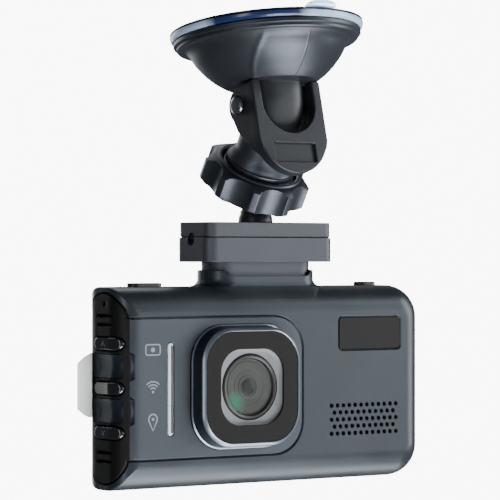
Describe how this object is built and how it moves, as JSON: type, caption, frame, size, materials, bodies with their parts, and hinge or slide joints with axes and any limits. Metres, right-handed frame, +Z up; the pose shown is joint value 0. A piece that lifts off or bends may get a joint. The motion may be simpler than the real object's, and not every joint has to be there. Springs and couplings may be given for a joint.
{
  "type": "dash camera",
  "caption": "Dash camera with a square lens hood and side keys, hanging by a magnetic dock holder from a ball joint and a lever suction cup.",
  "frame": {"origin": "centre of the suction face that sticks to the glass", "axes": "+Z up, +Y away from the front lens towards the display, +X along the body towards the closed end"},
  "size_m": [0.1085, 0.0553, 0.1331],
  "materials": {
    "slate_shell": "satin metallic slate paint on plastic",
    "slate_panel": "satin metallic slate, a little bluer than the shell",
    "gunmetal": "satin gunmetal moulded plastic",
    "gloss_black": "polished black",
    "satin_black": "satin black",
    "funnel_grey": "matte mid grey",
    "optical_glass": "coated optical glass",
    "light_guide": "milky light guide",
    "steel": "bright turned steel",
    "heat_spreader": "bare aluminium",
    "circuit_board": "green solder mask",
    "ceramic": "off-white ceramic",
    "contacts": "gold-plated contact",
    "pad_gel": "soft translucent gel",
    "blue_film": "blue protective film",
    "tab_white": "milky protective film"
  },
  "bodies": {
    "suction_head": {"suction_housing": "gunmetal", "suction_pad": "pad_gel", "pad_film": "blue_film"},
    "plunger_set": {"plunger": "satin_black", "plunger_spring": "steel", "lever_pin": "steel", "pin_nut": "steel"},
    "lever": {"suction_lever": "gunmetal"},
    "nut": {"locking_nut": "gunmetal"},
    "seat": {"ball_seat": "satin_black"},
    "stud": {"ball_stud": "gloss_black", "stud_screw": "steel"},
    "holder": {"holder_cover": "gunmetal", "holder_housing": "gunmetal", "holder_board": "circuit_board", "power_jack": "satin_black", "magnet_left": "steel", "magnet_right": "steel", "holder_pins": "contacts", "holder_screw_left": "steel", "holder_screw_right": "steel"},
    "camera": {"front_shell": "slate_shell", "rear_shell": "slate_shell", "front_panel": "slate_panel", "light_guide": "light_guide", "lens_hood": "slate_shell", "lens_bezel": "satin_black", "lens_surround": "funnel_grey", "lens_ring": "satin_black", "front_lens": "optical_glass", "lens_barrel": "satin_black", "inner_lens": "optical_glass", "rear_lens": "optical_glass", "laser_window": "gloss_black", "laser_sensor": "satin_black", "side_key_panel": "gloss_black", "sensor_board": "circuit_board", "main_board": "circuit_board", "heat_spreader": "heat_spreader", "radar_antenna": "ceramic", "gps_antenna": "ceramic", "backup_capacitors": "satin_black", "speaker": "satin_black", "card_socket": "steel", "side_key_board": "circuit_board", "top_key_board": "circuit_board", "display_module": "satin_black", "display_glass": "gloss_black", "screen_film": "tab_white", "case_screw_left": "steel", "case_screw_right": "steel", "dock_plate": "steel", "dock_contacts": "contacts"},
    "up_key": {"key_up": "gloss_black"},
    "ok_key": {"key_ok": "gloss_black"},
    "down_key": {"key_down": "gloss_black"},
    "power_key": {"power_button": "gloss_black"},
    "record_key": {"record_button": "gloss_black"},
    "card": {"memory_card": "satin_black"}
  },
  "joints": [
    {"name": "plunger_slide", "type": "slide", "parent": "suction_head", "child": "plunger_set", "axis": [0, -0.1478, -0.989], "range_m": [0, 0.00205], "deforming": ["plunger_spring"]},
    {"name": "lever_hinge", "type": "hinge", "parent": "plunger_set", "child": "lever", "pos_m": [0, -0.0033, -0.02206], "axis": [-1, 0, 0], "range_deg": [0, 84]},
    {"name": "nut_turn", "type": "hinge", "parent": "suction_head", "child": "nut", "pos_m": [0, 0.00525, -0.0412], "axis": [0, -0.5373, 0.8434], "continuous": true},
    {"name": "ball_azimuth", "type": "hinge", "parent": "suction_head", "child": "seat", "pos_m": [0, 0.00525, -0.0412], "axis": [0, -0.5373, 0.8434], "range_deg": [-90, 90]},
    {"name": "ball_tilt", "type": "hinge", "parent": "seat", "child": "stud", "pos_m": [0, 0.00525, -0.0412], "axis": [1, 0, 0], "range_deg": [0, 65]},
    {"name": "holder_swivel", "type": "hinge", "parent": "stud", "child": "holder", "pos_m": [0, 0.00525, -0.0412], "axis": [0, 0, 1], "range_deg": [-180, 180]},
    {"name": "dock_release", "type": "slide", "parent": "holder", "child": "camera", "axis": [0, 0, -1], "range_m": [0, 0.012]},
    {"name": "up_press", "type": "slide", "parent": "camera", "child": "up_key", "axis": [1, 0, 0], "range_m": [0, 0.0005], "stiffness_N_per_m": 400},
    {"name": "ok_press", "type": "slide", "parent": "camera", "child": "ok_key", "axis": [1, 0, 0], "range_m": [0, 0.0005], "stiffness_N_per_m": 400},
    {"name": "down_press", "type": "slide", "parent": "camera", "child": "down_key", "axis": [1, 0, 0], "range_m": [0, 0.0005], "stiffness_N_per_m": 400},
    {"name": "power_press", "type": "slide", "parent": "camera", "child": "power_key", "axis": [0, 0, -1], "range_m": [0, 0.0005], "stiffness_N_per_m": 400},
    {"name": "record_press", "type": "slide", "parent": "camera", "child": "record_key", "axis": [0, 0, -1], "range_m": [0, 0.0005], "stiffness_N_per_m": 400},
    {"name": "card_eject", "type": "slide", "parent": "camera", "child": "card", "axis": [1, 0, 0], "range_m": [0, 0.012]}
  ],
  "couplings": [
    {"joint": "lever_hinge", "follows": "plunger_slide", "rad_per_m": 714}
  ]
}
